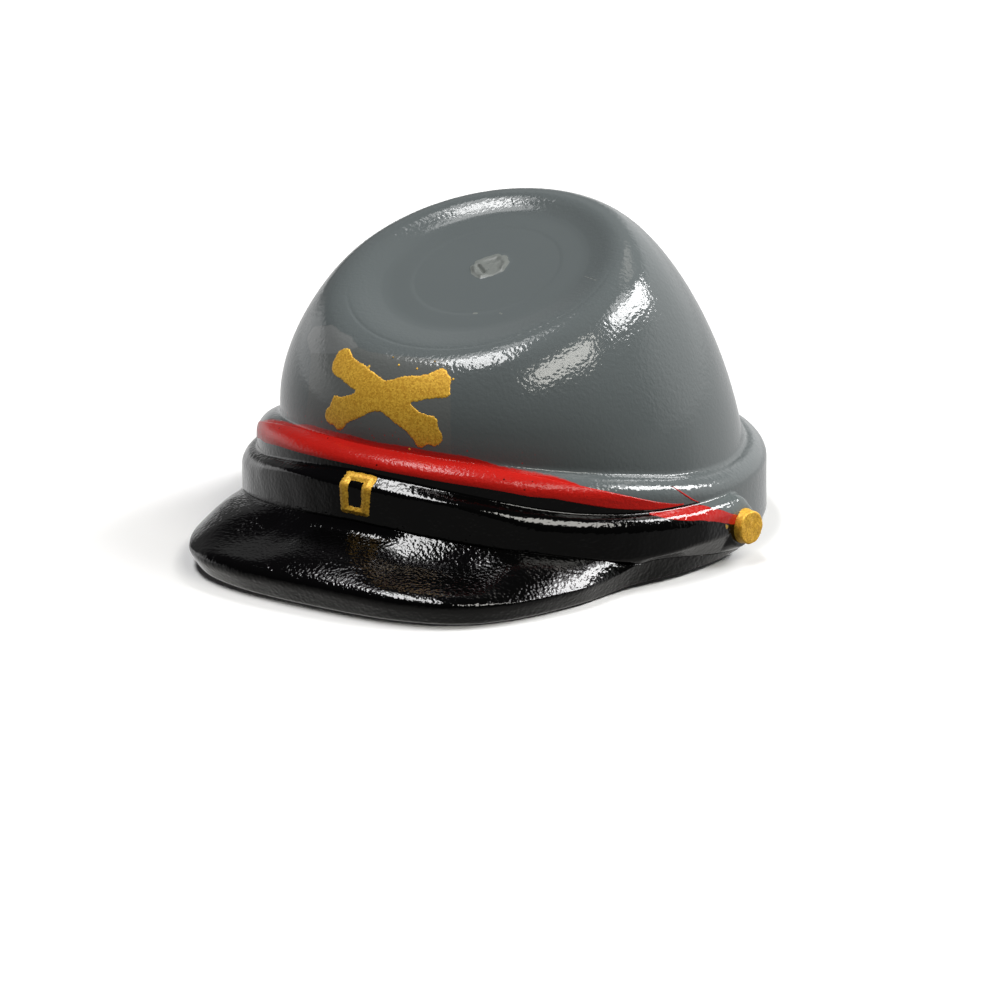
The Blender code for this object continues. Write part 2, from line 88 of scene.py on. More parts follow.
def fromTable(table, name, at, key="azimuth"):
    # smooth cubic through one column: at each row its slope is the harmonic mean of the
    # slopes on both sides, or zero where they differ in sign
    x, y = np.array([table[key], table[name]], float)
    step = np.diff(x)
    slope = np.diff(y) / step
    m = np.zeros_like(y)
    before, after = slope[:-1], slope[1:]
    same = before * after > 0
    m[1:-1][same] = 2 * after[same] * before[same] / (after[same] + before[same])
    if key == "azimuth":
        at = np.abs((at + 180) % 360 - 180)
        m[-1] = slope[-1] if x[-1] < 179 else 0
    k = np.clip(np.searchsorted(x, at, side="right") - 1, 0, len(step) - 1)
    t = np.clip((at - x[k]) / step[k], 0, 1)
    return ((2*t**3 - 3*t**2 + 1) * y[k] + (t**3 - 2*t**2 + t) * step[k] * m[k]
            + (3*t**2 - 2*t**3) * y[k + 1] + (t**3 - t**2) * step[k] * m[k + 1])


def collarAt(name, azimuth):
    return fromTable(collarHeights, name, azimuth)


def smoothStep(value, low, high):
    # 0 below low, 1 above high, smooth between
    t = np.clip((value - low) / (high - low), 0, 1)
    return t * t * (3 - 2 * t)


def ripple(x, y, wavelength, seed, waves=14):
    # bumps of about -1 to 1: the sum of sine waves of one length in all directions
    draw = np.random.default_rng(seed)
    turn = draw.uniform(0, 2 * np.pi, waves)
    phase = draw.uniform(0, 2 * np.pi, waves)
    stretch = draw.uniform(0.75, 1.35, waves) * 2 * np.pi / wavelength
    total = sum(np.sin((x * np.cos(a) + y * np.sin(a)) * s + p)
                for a, p, s in zip(turn, phase, stretch))
    return total / np.sqrt(waves) * 1.2


def unit(vectors):
    # the same directions with length 1
    return vectors / np.linalg.norm(vectors, axis=-1, keepdims=True)


def fromAxis(points):
    # distance from the cap's axis
    return np.hypot(points[..., 0], points[..., 1])


def lineAway(x, y, start, end):
    # distance from a straight line between two places
    dx, dy = end[0] - start[0], end[1] - start[1]
    t = np.clip(((x - start[0]) * dx + (y - start[1]) * dy) / (dx * dx + dy * dy), 0, 1)
    return np.hypot(x - start[0] - t * dx, y - start[1] - t * dy)


def insidePolygon(x, y, outline):
    # distance to the outline, negative outside
    away, inside = np.full(x.shape, 1e9), np.zeros(x.shape, bool)
    for start, end in zip(outline, np.roll(outline, -1, 0)):
        away = np.minimum(away, lineAway(x, y, start, end))
        (dx, dy), crosses = end - start, (start[1] > y) != (end[1] > y)
        inside ^= crosses & (x < start[0] + (y - start[1]) * dx / (dy if abs(dy) > 1e-12 else 1e-12))
    return np.where(inside, away, -away)


def addObject(name, data):
    made = bpy.data.objects.new(name, data)
    bpy.context.scene.collection.objects.link(made)
    return made


def addPiece(name, points, faces, attributes, material, node):
    # a mesh with its attributes and material, which stands for its CAD node
    mesh = bpy.data.meshes.new(name)
    faceLists = [face for block in faces for face in block.tolist()]
    mesh.from_pydata(toFrame(points).tolist(), [], faceLists)
    mesh.validate()
    mesh.shade_smooth()
    for key, values in attributes.items():
        layer = mesh.attributes.new(key, "FLOAT", "POINT")
        layer.data.foreach_set("value", values.astype(np.float32).ravel())
    mesh.materials.append(material)
    piece = addObject(name, mesh)
    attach(piece, "root")
    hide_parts(node)
    print(f"{name}: {len(points)} points, {len(faceLists)} faces")


def ringFaces(rows, count):
    # quads between neighbouring rings of points, closed round
    i, j = np.arange(rows - 1)[:, None] * count, np.arange(count)
    nextJ = (j + 1) % count
    return np.stack([i + j, i + nextJ, i + count + nextJ, i + count + j], -1).reshape(-1, 4)


def addTubes(name, tubes, attributes, material, node):
    # a piece of closed tubes: rings of points with a flat cap on both ends
    points, faces, count = [], [], 0
    for rings in tubes:
        rows, columns = rings.shape[:2]
        end = np.arange(columns)[None, :]
        faces += [ringFaces(rows, columns) + count, end[:, ::-1] + count, end + (rows - 1) * columns + count]
        points.append(rings.reshape(-1, 3))
        count += len(points[-1])
    addPiece(name, np.concatenate(points), faces, attributes, material, node)


# materials

def hexColour(text):
    # sRGB hex value to linear colour
    value = np.array([int(text[k:k + 2], 16) for k in (1, 3, 5)]) / 255
    linear = np.where(value <= 0.04045, value / 12.92, ((value + 0.055) / 1.055) ** 2.4)
    return (*linear.tolist(), 1.0)


def setInputs(material, node, inputs):
    # each input gets a number, a colour or a node's output
    for name, value in inputs.items():
        if isinstance(value, bpy.types.NodeSocket):
            material.node_tree.links.new(value, node.inputs[name])
        else:
            node.inputs[name].default_value = value
    return node


def addNode(material, kind, inputs, **settings):
    # the outputs of a node with these properties, and its inputs by name or number
    node = material.node_tree.nodes.new("ShaderNode" + kind)
    for name, value in settings.items():
        setattr(node, name, value)
    return setInputs(material, node, inputs).outputs


def newMaterial(name):
    material = bpy.data.materials.new(name)
    material.use_nodes = True
    return material


def setShader(material, inputs):
    setInputs(material, material.node_tree.nodes["Principled BSDF"], inputs)
    return material


def pattern(material, kind, spacing, **inputs):
    # a texture on the object's own coordinates, which are metres, spacing in mm
    place = addNode(material, "TexCoord", {})["Object"]
    return addNode(material, kind, {"Vector": place, "Scale": 1000 / spacing, **inputs})


def orangePeel(material, layers, amount=None):
    # bumps: each layer is (spacing in mm, height in mm), and an attribute can fade them
    strength = addNode(material, "Attribute", {}, attribute_name=amount)["Fac"] if amount else 1.0
    below = {}
    for spacing, height in layers:
        noise = pattern(material, "TexNoise", spacing, Detail=1.0, Roughness=0.45)["Fac"]
        bump = {"Height": noise, "Distance": height * millimetre, "Strength": strength, **below}
        below = {"Normal": addNode(material, "Bump", bump)["Normal"]}
    return below["Normal"]


def paintMask(material, name, width, ragged, spacing):
    # 1 where the paint's attribute, the distance in mm inside it, is above 0; the edge is
    # width mm soft and wanders by ragged mm
    inside = addNode(material, "Attribute", {}, attribute_name=name + "Inside")["Fac"]
    noise = pattern(material, "TexNoise", spacing, Detail=3.0)["Fac"]
    wander = addNode(material, "Math", {0: noise, 1: 2 * ragged, 2: -ragged}, operation="MULTIPLY_ADD")[0]
    edge = addNode(material, "Math", {0: inside, 1: wander}, operation="ADD")[0]
    return addNode(material, "MapRange", {"Value": edge, "From Min": -width / 2,
                                          "From Max": width / 2})["Result"]


def speckMask(material, spacing, size, share):
    # 1 in round specks size mm wide, one in that share of the cells spacing mm wide
    cells = pattern(material, "TexVoronoi", spacing)
    pick = addNode(material, "SeparateColor", {"Color": cells["Color"]})["Green"]
    chosen = addNode(material, "Math", {0: pick, 1: share}, operation="LESS_THAN")[0]
    close = addNode(material, "Math", {0: cells["Distance"], 1: size / spacing / 2},
                    operation="LESS_THAN")[0]
    return addNode(material, "Math", {0: chosen, 1: close}, operation="MULTIPLY")[0]


def finish(material, look, base, masks, peel="peel", fade=None, **more):
    # the look's base colour, each named one laid over it where its mask is 1, and its peel
    colour = hexColour(look[base])
    for name, mask in masks.items():
        colour = addNode(material, "Mix", {0: mask, 6: colour, 7: hexColour(look[name])}, data_type="RGBA")[2]
    return setShader(material, {"Base Color": colour, "Roughness": look["roughness"],
                                "Normal": orangePeel(material, look[peel], fade), **more})


# Glossy moulded ABS: slate grey, with a fine orange peel that breaks the highlights into
# grains, and soft sprayed edges where the black and the red end.
plasticLook = {
    "grey": "#616768", "greyCloud": "#5c6263", "black": "#060606", "redThin": "#b81d17",
    "panel": "#666968",  # painted reflection: a lighter, warmer grey on the wall where the badge is, with an upright edge at azimuth 20
    "pale": "#747777",  # painted reflection: a paler patch in the panel's corner
    "scar": "#6d716e",  # whitened plastic, where the runner was broken off
    "roughness": 0.1,
    "scarRoughness": 0.42,  # torn plastic is matt
    "peel": [(0.9, 0.006), (0.1, 0.009)],
}


def makePlastic():
    material = newMaterial("gloss_moulded_abs")
    cloud = pattern(material, "TexNoise", 2.5, Detail=3.0)["Fac"]
    # painted reflections: the panel and the pale patch are lighter grey on the wall where the badge is
    panel, pale, scar = (paintMask(material, name, 0.03, 0.03, 0.16) for name in ("panel", "pale", "scar"))
    matt = addNode(material, "Mix", {0: scar, 2: plasticLook["roughness"],
                                     3: plasticLook["scarRoughness"]})[0]
    # overspray: a few red specks just above the stripe
    near = paintMask(material, "spray", 0.5, 0.0, 1.0)
    specks = speckMask(material, 0.1, 0.045, 0.16)
    spray = addNode(material, "Math", {0: near, 1: specks}, operation="MULTIPLY")[0]
    thin = paintMask(material, "red", 0.03, 0.022, 0.14)
    red = addNode(material, "Math", {0: thin, 1: spray}, operation="MAXIMUM")[0]
    dark = paintMask(material, "black", 0.02, 0.03, 0.5)
    masks = dict(greyCloud=cloud, panel=panel, pale=pale, scar=scar, redThin=red, black=dark)
    return finish(material, plasticLook, "grey", masks, fade="peel", Roughness=matt)


# Red enamel laid on by brush: glossy, with faint waves and a few dark specks of dust.
redLook = {
    "red": "#c6211a", "deep": "#b71c16", "dust": "#3a0806",
    "roughness": 0.23, "ior": 1.33,
    "peel": [(0.7, 0.005), (0.09, 0.012)],
}


def makeRed():
    material = newMaterial("red_enamel_brushed")
    masks = {"deep": pattern(material, "TexNoise", 0.6, Detail=2.0)["Fac"],
             "dust": speckMask(material, 0.22, 0.05, 0.1)}
    return finish(material, redLook, "red", masks, IOR=redLook["ior"])


# Thick black gloss enamel: near black, mirror-like, with a coarse orange peel.
blackLook = {
    "black": "#040404",
    "bare": "#5c6363",  # the plastic, where the strap's ledge isn't painted
    "red": "#b81d18",
    "gold": "#b38a2a",
    "roughness": 0.08,
    "peelStrap": [(0.8, 0.003), (0.1, 0.009)],
    "peelPeak": [(0.9, 0.006), (0.09, 0.014)],
}


def makeBlack(name, peel, tints):
    # each tint shows where its attribute is above 0
    material = newMaterial(name)
    masks = {tint: paintMask(material, tint, 0.02, 0.015, 0.2) for tint in tints}
    return finish(material, blackLook, "black", masks, peel)


# Gold paint: bronze flakes 0.03 mm across in lacquer, so it is grainy and half matt.
goldLook = {
    "light": "#fdcb48", "dark": "#cf9626",
    "roughness": 0.5, "metallic": 0.3, "flake": 0.035,
    "peel": [(0.06, 0.004)],
}


def makeGold():
    material = newMaterial("gold_paint_bronze_flake")
    flakes = pattern(material, "TexVoronoi", goldLook["flake"])["Color"]
    grain = addNode(material, "SeparateColor", {"Color": flakes})["Red"]
    return finish(material, goldLook, "dark", {"light": grain}, Metallic=goldLook["metallic"])


plastic = makePlastic()
redEnamel = makeRed()
strapEnamel = makeBlack("black_enamel_strap", "peelStrap", ("bare", "red", "gold"))
peakEnamel = makeBlack("black_enamel_peak", "peelPeak", ())
goldPaint = makeGold()
print("materials made")

# crown

crown = {
    "columns": 360,
    "leanFront": -9.25, "leanBack": 15.05,  # the wall's lean at the crease, degrees
    "riseFront": 1.21, "riseBack": 4.49,  # handles of the wall's curve
    "flatFront": 0.21, "flatBack": 0.52,
    "discForward": 1.406, "discHeight": 6.698,  # centre of the top's edge
    "discTilt": 20.43, "discRadius": 3.739,
    "bandFoot": 0.38,
    "wallRadius": 5.3,  # the wall's middle, where the badge's panel lies
    "fillet": 9, "shoulder": 240,  # smoothing passes in the crease and round the top's edge
    "ceilingRadii": [.6, 1.6, 2.8], "ceilingRound": 0.25,
    "hollowShares": [.3, .23, .16, .1, .05],  # how far up the wall the hollow follows it
    "blackEndHigh": 66.0, "blackEndLow": 95.0,  # azimuths of the black paint's ends
}

# the sunk top from its middle to its edge, in that edge's plane
crownTop = {
    "radius": [0, 1.82, 1.96, 2.4, 2.6, 2.8, 3, 3.2, 3.4, 3.55, 3.739],
    "rise": [-.164, -.163, -.154, -.15, -.135, -.1, -.058, -.015, .022, .034, 0],
    "shift": [-.35, -.29, -.28, -.25, -.23, -.21, -.18, -.14, -.09, -.05, 0],
}

# the top's rings of points: first and last radius and how many
topRings = [(3.715, 2.6, 44), (2.52, 2.04, 8), (2.0, 1.7, 13), (1.6, 0.62, 14), (0.58, 0.02, 26)]

# how far the red reaches over the crease, up the wall
stripeEdge = {
    "azimuth": [0, 8, 15, 22, 28, 32, 38, 46, 60, 180],
    "reach": [.17, .2, .18, .18, .11, .03, .0, -.06, -.4, -.4],
}

# the shell's foot, from the bore down to the rim and up to the band
shellFoot = {
    "boreOver": [0, 0, 0, 0, .012, .04, .09], "boreHeight": [1.5, .9, .4, .1, .05, .015, 0],
    "rimOver": [-.5, -.14, -.09, -.05, -.02, 0, .03], "rimHeight": [0, 0, .008, .025, .055, .1, .2],
}

# a fine groove inside the top's crest, deepest at the azimuth it faces
crestGroove = {"radius": 3.42, "width": 0.045, "depth": 0.01, "faces": 25}

# gate mark, across and forward of the top's middle: a torn ridge round a low nub, and a slit
# and a dent behind it
gateMark = {
    "ridge": [(-0.43, 0.00), (-0.25, 0.23), (-0.01, 0.31), (0.19, 0.15), (0.33, -0.09),
              (0.27, -0.38), (0.07, -0.57)],
    "back": [(-0.16, -0.6), (-0.36, -0.42), (-0.46, -0.18)],
    "reach": 1.2, "ridgeHigh": 0.032, "ridgeHalf": 0.075, "nubHigh": 0.01,
    "slit": [(-0.37, -0.08), (-0.06, 0.14)], "slitDeep": 0.055, "slitHalf": 0.045,
    "dent": [(-0.26, -0.28), (-0.1, -0.42)], "dentDeep": 0.024, "dentHalf": 0.085,
}

# whitened scratches on the top: both ends and half width
topScars = [((0.74, 1.76), (0.8, 1.75), 0.04), ((1.4, 1.59), (1.45, 1.58), 0.035),
            ((2.67, -0.4), (3.2, -0.2), 0.02)]

# outlines of the painted reflections on the wall: a lighter panel where the badge is, and a paler patch in its corner
reflectionPanelOutline = {
    "azimuth": [20.4, 20.2, 19.6, 18.2, 16.5, 12.7, 2, -8, -14.7, -18.9, -30.8, -39.2, -39.2, -32, -29, -26, -27],
    "height": [3, 3.65, 4.5, 5.24, 5.45, 5.42, 5.38, 5.33, 5.36, 5.47, 5.57, 5.34, 5.09, 4.88, 4.6, 4, 3],
}
paleReflectionOutline = {
    "azimuth": [-39.2, -39.2, -30.8, -18.9, -14.7, -19, -32],
    "height": [5.09, 5.34, 5.57, 5.47, 5.36, 5.15, 4.88],
}


# middle of the tilted top's edge, its direction to the front and its normal
discTilt = np.radians(crown["discTilt"])
discCentre = np.array([0.0, -crown["discForward"], crown["discHeight"]])
discFront = np.array([0.0, -np.cos(discTilt), -np.sin(discTilt)])
discNormal = np.array([0.0, -np.sin(discTilt), np.cos(discTilt)])


def discOut(azimuth):
    # direction from the top's middle to its edge
    a = np.radians(azimuth)[..., None]
    return np.sin(a) * xAxis + np.cos(a) * discFront


def frontBack(name, azimuth):
    # from its value in front to the one behind, as the cosine of the azimuth
    front = (1 + np.cos(np.radians(azimuth))) / 2
    return crown[name + "Back"] + (crown[name + "Front"] - crown[name + "Back"]) * front


def crownWall(azimuth, share):
    # cubic curve from the crease (share 0) to the edge of the top (share 1)
    azimuth, share = np.broadcast_arrays(azimuth, share)
    lean = np.radians(frontBack("lean", azimuth))
    foot = polar(azimuth, collar["creaseRadius"], collarAt("crease", azimuth))
    out = discOut(azimuth)
    edge = discCentre + crown["discRadius"] * out
    one = foot + frontBack("rise", azimuth)[..., None] * polar(azimuth, -np.sin(lean), np.cos(lean))
    two = edge + frontBack("flat", azimuth)[..., None] * out
    t = share[..., None]
    return (1-t)**3 * foot + 3*(1-t)**2*t * one + 3*(1-t)*t**2 * two + t**3 * edge


def rollRadius(turn):
    # from the crease to the band, as the sine of the turn
    return collar["creaseRadius"] + (collar["bandRadius"] - collar["creaseRadius"]) * np.sin(turn)


def rollCurve(azimuth, share):
    # quarter ellipse from the crease (share 0) to the band, then straight down to the
    # stripe's lower edge (share 1)
    crease, stripe = collarAt("crease", azimuth), collarAt("stripe", azimuth)
    drop = np.minimum(collar["rollDrop"], crease - stripe + 0.05)
    bend = collar["rollBend"]
    turn = np.clip(share / bend, 0, 1) * np.pi / 2
    straight = np.clip((share - bend) / (1 - bend), 0, 1)
    low = np.minimum(stripe, crease - drop - 0.02)
    height = crease - drop * (1 - np.cos(turn)) + straight * (low - (crease - drop))
    return polar(azimuth, rollRadius(turn), height)


def roundRows(grid, row, width, passes):
    # softens the fold at one row by averaging each row with its neighbours
    near = np.exp(-((np.arange(len(grid)) - row) / width) ** 2)[1:-1, None, None]
    for _ in range(passes):
        middle = grid[1:-1]
        grid[1:-1] = middle + near * ((grid[:-2] + grid[2:]) / 2 - middle)
    return grid


rollRows = np.linspace(1, 0, 44)
footRows = np.arange(1, 14) * 0.03  # rows of the wall next to the crease, in mm


def collarGrid(azimuth):
    # rows up the roll to the crease and the wall's foot above it, with the crease rounded
    share = footRows[:, None] / (3 * frontBack("rise", azimuth))
    grid = np.concatenate([rollCurve(azimuth, rollRows[:, None]), crownWall(azimuth, share)])
    return roundRows(grid, len(rollRows) - 1, 7.0, crown["fillet"]), share[-1]


def insideRings(azimuth):
    # the ceiling with its rounded corner, the hollow's wall, the bore and the rim
    ceiling, rounding = collar["ceiling"], crown["ceilingRound"]
    rings = [polar(azimuth, radius, ceiling) for radius in crown["ceilingRadii"]]
    walls = [crownWall(azimuth, share) for share in crown["hollowShares"]]
    radii = [fromAxis(wall) - collar["wall"] for wall in walls]
    corner = np.linspace(0, np.pi / 2, 8)[:, None]
    middle = np.minimum(radii[0], 4.9) - 0.08 - rounding
    rings += list(polar(azimuth, middle + rounding * np.sin(corner), ceiling - rounding + rounding * np.cos(corner)))
    rings += [polar(azimuth, np.minimum(radius + 0.05, collar["boreRadius"] - 0.05), wall[:, 2] - 0.25)
              for radius, wall in zip(radii[1:], walls[1:])]
    for part in ("bore", "rim"):
        rings += [polar(azimuth, collar[part + "Radius"] + over, height)
                  for over, height in zip(shellFoot[part + "Over"], shellFoot[part + "Height"])]
    return rings


def gateRelief(across, along):
    # height over the top and distance inside the whitened area: a flat nub, a bell-shaped
    # ridge along its line, less bell-shaped cuts
    ridge = gateMark["ridge"]
    inside = insidePolygon(across, along, np.array(ridge + gateMark["back"]))
    inside = inside + 0.05 + 0.02 * ripple(across, along, 0.45, 8)
    away = np.min([lineAway(across, along, *ends) for ends in zip(ridge, ridge[1:])], 0)
    lift = (gateMark["nubHigh"] + 0.002 * ripple(across, along, 0.17, 6)) * smoothStep(inside, -0.04, 0.14)
    uneven = 0.8 + 0.4 * ripple(across, along, 0.5, 8)
    lift += gateMark["ridgeHigh"] * np.exp(-(away / gateMark["ridgeHalf"]) ** 2) * uneven
    for cut in ("slit", "dent"):
        cutAway = lineAway(across, along, *gateMark[cut])
        lift -= gateMark[cut + "Deep"] * np.exp(-(cutAway / gateMark[cut + "Half"]) ** 2)
    lift = np.where(np.hypot(across, along) < gateMark["reach"], lift, 0.0)
    return lift, np.maximum(inside, 0.1 - away)


def buildCrown():
    # rings from the ceiling round the rim and up the band, the roll and the wall to the top
    count = crown["columns"]
    azimuth = np.arange(count) * 360.0 / count
    collarRows, lastShare = collarGrid(azimuth)
    share = np.linspace(0, 1, 14)[:, None]
    foot = crown["bandFoot"]
    band = polar(azimuth, collar["bandRadius"], foot + (collarRows[0][:, 2] - 0.02 - foot) * share)
    step = np.linspace(0, 1, 62)[1:, None]
    wall = crownWall(azimuth, lastShare + (1 - lastShare) * (1 - (1 - step) ** 1.35))
    grid = np.concatenate([insideRings(azimuth), band, collarRows, wall])
    edgeRow = len(grid) - 1
    radii = np.concatenate([np.linspace(*part) for part in topRings])
    shift, rise = (fromTable(crownTop, name, radii, "radius")[:, None, None] for name in ("shift", "rise"))
    top = discCentre + radii[:, None, None] * discOut(azimuth) + shift * discFront + rise * discNormal
    grid = np.concatenate([grid, top])
    roundRows(grid[edgeRow - 45:edgeRow + 42], 45, 17.0, crown["shoulder"])
    tip = discCentre + crownTop["shift"][0] * discFront + crownTop["rise"][0] * discNormal

    # the groove and the gate mark, along the top's normal
    top = grid[edgeRow + 1:]
    inFront = smoothStep(np.cos(np.radians(azimuth - crestGroove["faces"])), 0.0, 0.5)
    dip = np.exp(-((radii - crestGroove["radius"]) / crestGroove["width"]) ** 2)[:, None] * inFront
    top -= (crestGroove["depth"] * dip)[..., None] * discNormal
    across, along = (top - tip)[..., 0], (top - tip) @ discFront
    lift, scars = gateRelief(across, along)
    top += lift[..., None] * discNormal
    for start, end, half in topScars:
        scars = np.maximum(scars, half - lineAway(across, along, start, end))
    # the orange peel's strength: full on the roll and the shoulder, faint on the top
    above = grid[..., 2] - collarAt("crease", azimuth)
    amount = 0.55 + 0.45 * smoothStep(above, 0.8, 2.2) + 0.45 * smoothStep(-above, -0.4, 0.0)
    amount[edgeRow + 1:] = (0.05 + 0.75 * smoothStep(radii, 2.4, 3.2))[:, None]

    # a point closes the ceiling, and one the top
    points = np.concatenate([[[0, 0, collar["ceiling"]]], grid.reshape(-1, 3), [tip]])
    j = np.arange(count)
    nextJ = (j + 1) % count
    last = 1 + (len(grid) - 1) * count
    faces = [ringFaces(len(grid), count) + 1, np.stack([0 * j, 1 + nextJ, 1 + j], -1),
             np.stack([0 * j + len(points) - 1, last + j, last + nextJ], -1)]

    # paint: distances in mm inside the painted areas, positive within
    radius, z = fromAxis(points), points[:, 2]
    azimuthAt = np.degrees(np.arctan2(points[:, 0], -points[:, 1]))
    overCrease = z - collarAt("crease", azimuthAt)
    blackEnd = np.where(z > 1.2, crown["blackEndHigh"], crown["blackEndLow"])
    endBlack = (blackEnd - np.abs(azimuthAt)) * np.pi / 180 * collar["bandRadius"]
    belowStripe = collarAt("stripe", azimuthAt) + 0.06 - z
    black = np.where(radius > 5.6, np.minimum(endBlack, belowStripe), -1.0)
    over = fromTable(stripeEdge, "reach", azimuthAt) - overCrease
    over = np.where((radius > 4.5) & (overCrease > -0.3), over, -1.0)
    spray = np.where((overCrease > 0) & (np.abs(azimuthAt) < 45), over + 0.25, -1.0)

    def inWall(shape):
        outline = np.stack([np.radians(shape["azimuth"]) * crown["wallRadius"], shape["height"]], 1)
        inside = insidePolygon(azimuthAt * np.pi / 180 * crown["wallRadius"], z, outline)
        return np.where((radius > 4.0) & (overCrease > -0.1), inside, -1.0)

    scarred = np.full(len(points), -1.0)
    scarred[-1 - scars.size:-1] = scars.ravel()
    # the panel and the pale patch are painted reflections on the wall
    attributes = {"blackInside": black, "redInside": over, "sprayInside": spray, "scarInside": scarred,
                  "panelInside": inWall(reflectionPanelOutline), "paleInside": inWall(paleReflectionOutline),
                  "peel": np.concatenate([[0.05], amount.ravel(), [0.05]])}
    addPiece("crown_shell", points, faces, attributes, plastic, "crown")


buildCrown()

# red stripe

stripe = {
    "end": 77.0,  # azimuth of its pointed ends
    "leaves": 26.0, "falls": 52.0,  # its upper edge: azimuth where it leaves the crease, and its fall
    "thick": 0.014,  # enamel over the roll
    "sunk": 0.05,  # its underside, inside the crown
    "columns": 560, "rows": 40,
}

# a hair of red from the stripe's end down the roll to the strap's ledge
hair = {
    "azimuth": [74.6, 76.2, 77.6, 79.6, 82],
    "height": [2.24, 2.1, 1.98, 1.82, 1.68],
    "wide": 0.045, "high": 0.016,
}


def hairTube():
    # flat oval rings along the hair, thinning to both ends
    share = np.linspace(0, 1, 40)
    azimuth, height = (np.interp(share, np.linspace(0, 1, 5), hair[name]) for name in ("azimuth", "height"))
    drop = collarAt("crease", azimuth) - height
    turn = np.arccos(np.clip(1 - drop / collar["rollDrop"], 0, 1))
    path = polar(azimuth, rollRadius(turn), height)
    normal = polar(azimuth, np.sin(turn), np.cos(turn))
    across = unit(np.cross(np.gradient(path, axis=0), normal))
    a = (np.arange(10) * np.pi / 5)[:, None]
    thin = np.sqrt(np.clip(np.sin(np.pi * share), 0.02, 1))[:, None, None]
    return path[:, None] + thin * (hair["wide"] / 2 * np.cos(a) * across[:, None]
                                   + hair["high"] * np.sin(a) * normal[:, None])


def buildStripe():
    # the roll's rows between the stripe's edges, moved out and in along the roll's normals
    azimuth = np.linspace(-stripe["end"], stripe["end"], stripe["columns"])
    grid, _ = collarGrid(azimuth)
    normals = unit(np.cross(np.gradient(grid, axis=1), np.gradient(grid, axis=0)))
    # row of the upper edge: over the crease in front, then down the roll
    climb = 1.5 * smoothStep(34 - np.abs(azimuth), 0, 20)
    fallen = np.clip((np.abs(azimuth) - stripe["leaves"]) / stripe["falls"], 0, 1)
    highRow = (1 - (0.03 + 0.92 * fallen ** 1.15)) * (len(rollRows) - 1) + climb
    across = np.linspace(0, 1, stripe["rows"])[:, None]
    row = across * highRow
    k = np.clip(row.astype(int), 0, len(grid) - 2)
    t = (row - k)[..., None]
    j = np.arange(len(azimuth))
    skin, normal = (values[k, j] * (1 - t) + values[k + 1, j] * t for values in (grid, normals))
    edge = smoothStep(across, 0, 0.06) * smoothStep(1 - across, 0, 0.06)
    ends = smoothStep(stripe["end"] - np.abs(azimuth), 0, 0.6)
    top = skin + (stripe["thick"] * edge * ends + 0.004)[..., None] * normal
    low = skin - (stripe["sunk"] * edge * ends + 0.01)[..., None] * normal
    section = np.concatenate([low, top[::-1]]).transpose(1, 0, 2)
    addTubes("stripe_enamel", [section, hairTube()], {}, redEnamel, "piping")


buildStripe()

# chin strap

strap = {
    "radius": 6.74,
    "buttonAzimuth": 93.5,
    "tabRadius": 0.6, "tabHeight": 0.92,
    # the bevel: how far down the face, how far in on the ledge, and its rise over the face
    "edgeDown": 0.21, "edgeIn": 0.16, "edgeUp": 0.03,
    "columns": 620,
    "cornerSteps": 11, "sideSteps": 5,
}


def roundedSections(corners, radii, cornerSteps, sideSteps):
    # closed sections: each corner becomes a parabola that starts and ends its radius away
    # from it, never past the middle of a side
    def towards(neighbour):
        side = neighbour - corners
        length = np.maximum(np.linalg.norm(side, axis=-1, keepdims=True), 1e-9)
        return corners + side * np.minimum(radii[..., None] / length, 0.49)

    start, end = towards(np.roll(corners, 1, 1)), towards(np.roll(corners, -1, 1))
    t = np.linspace(0, 1, cornerSteps)[:, None]
    curve = ((1-t)**2 * start[:, :, None] + 2*t*(1-t) * corners[:, :, None] + t**2 * end[:, :, None])
    t = (np.arange(1, sideSteps + 1) / (sideSteps + 1))[:, None]
    side = (1-t) * end[:, :, None] + t * np.roll(start, -1, 1)[:, :, None]
    return np.concatenate([curve, side], 2).reshape(len(corners), -1, 3)


def strapEdges(azimuth):
    # ledge, face top and foot of the strap, with its round ends at the buttons
    a = np.abs(azimuth)
    ledge, face, foot = (collarAt(name, a) for name in ("ledge", "face", "foot"))
    away, tab = (a - strap["buttonAzimuth"]) * np.pi / 180 * strap["radius"], strap["tabRadius"]
    half = np.sqrt(np.clip(tab**2 - away**2, 0, None))
    tabFoot, tabTop = strap["tabHeight"] - half, strap["tabHeight"] + half
    foot = np.where(np.abs(away) < tab, np.minimum(foot, tabFoot), foot)
    return [np.where(away > 0, end, side) for end, side in (
        (tabTop + 0.1 * half / tab, ledge), (tabTop, face), (tabFoot, foot))]


def strapWave(azimuth, height, radius):
    # thick enamel: long shallow waves on the face, in mm outwards
    return 0.003 * ripple(np.radians(azimuth) * strap["radius"], height, 0.9, 11) * smoothStep(radius, 6.5, 6.7)


# edges of the red sliver on the strap and of its bare ledge, from the top edge of the face:
# positive inwards on the ledge, negative down the face
sliver = {
    "azimuth": [0, 66, 67, 69, 71, 74, 77, 79, 82, 84, 86, 88.6, 92, 94, 97],
    "low": [1, 1, .34, .2, .1, 0, -.08, -.12, -.24, -.31, -.39, -.5, -.62, -.7, -.7],
    "high": [.9, .9, .36, .36, .36, .36, .36, .36, .3, .14, .02, -.21, -.4, -.8, -1],
    "bare": [9, 9, 9, 9, 9, 9, 9, 9, .3, .14, .02, -.21, -.4, -1, -3],
}

goldSpots = [(87.3, 0.99, 0.05), (86.9, 1.04, 0.03)]  # azimuth, height, radius


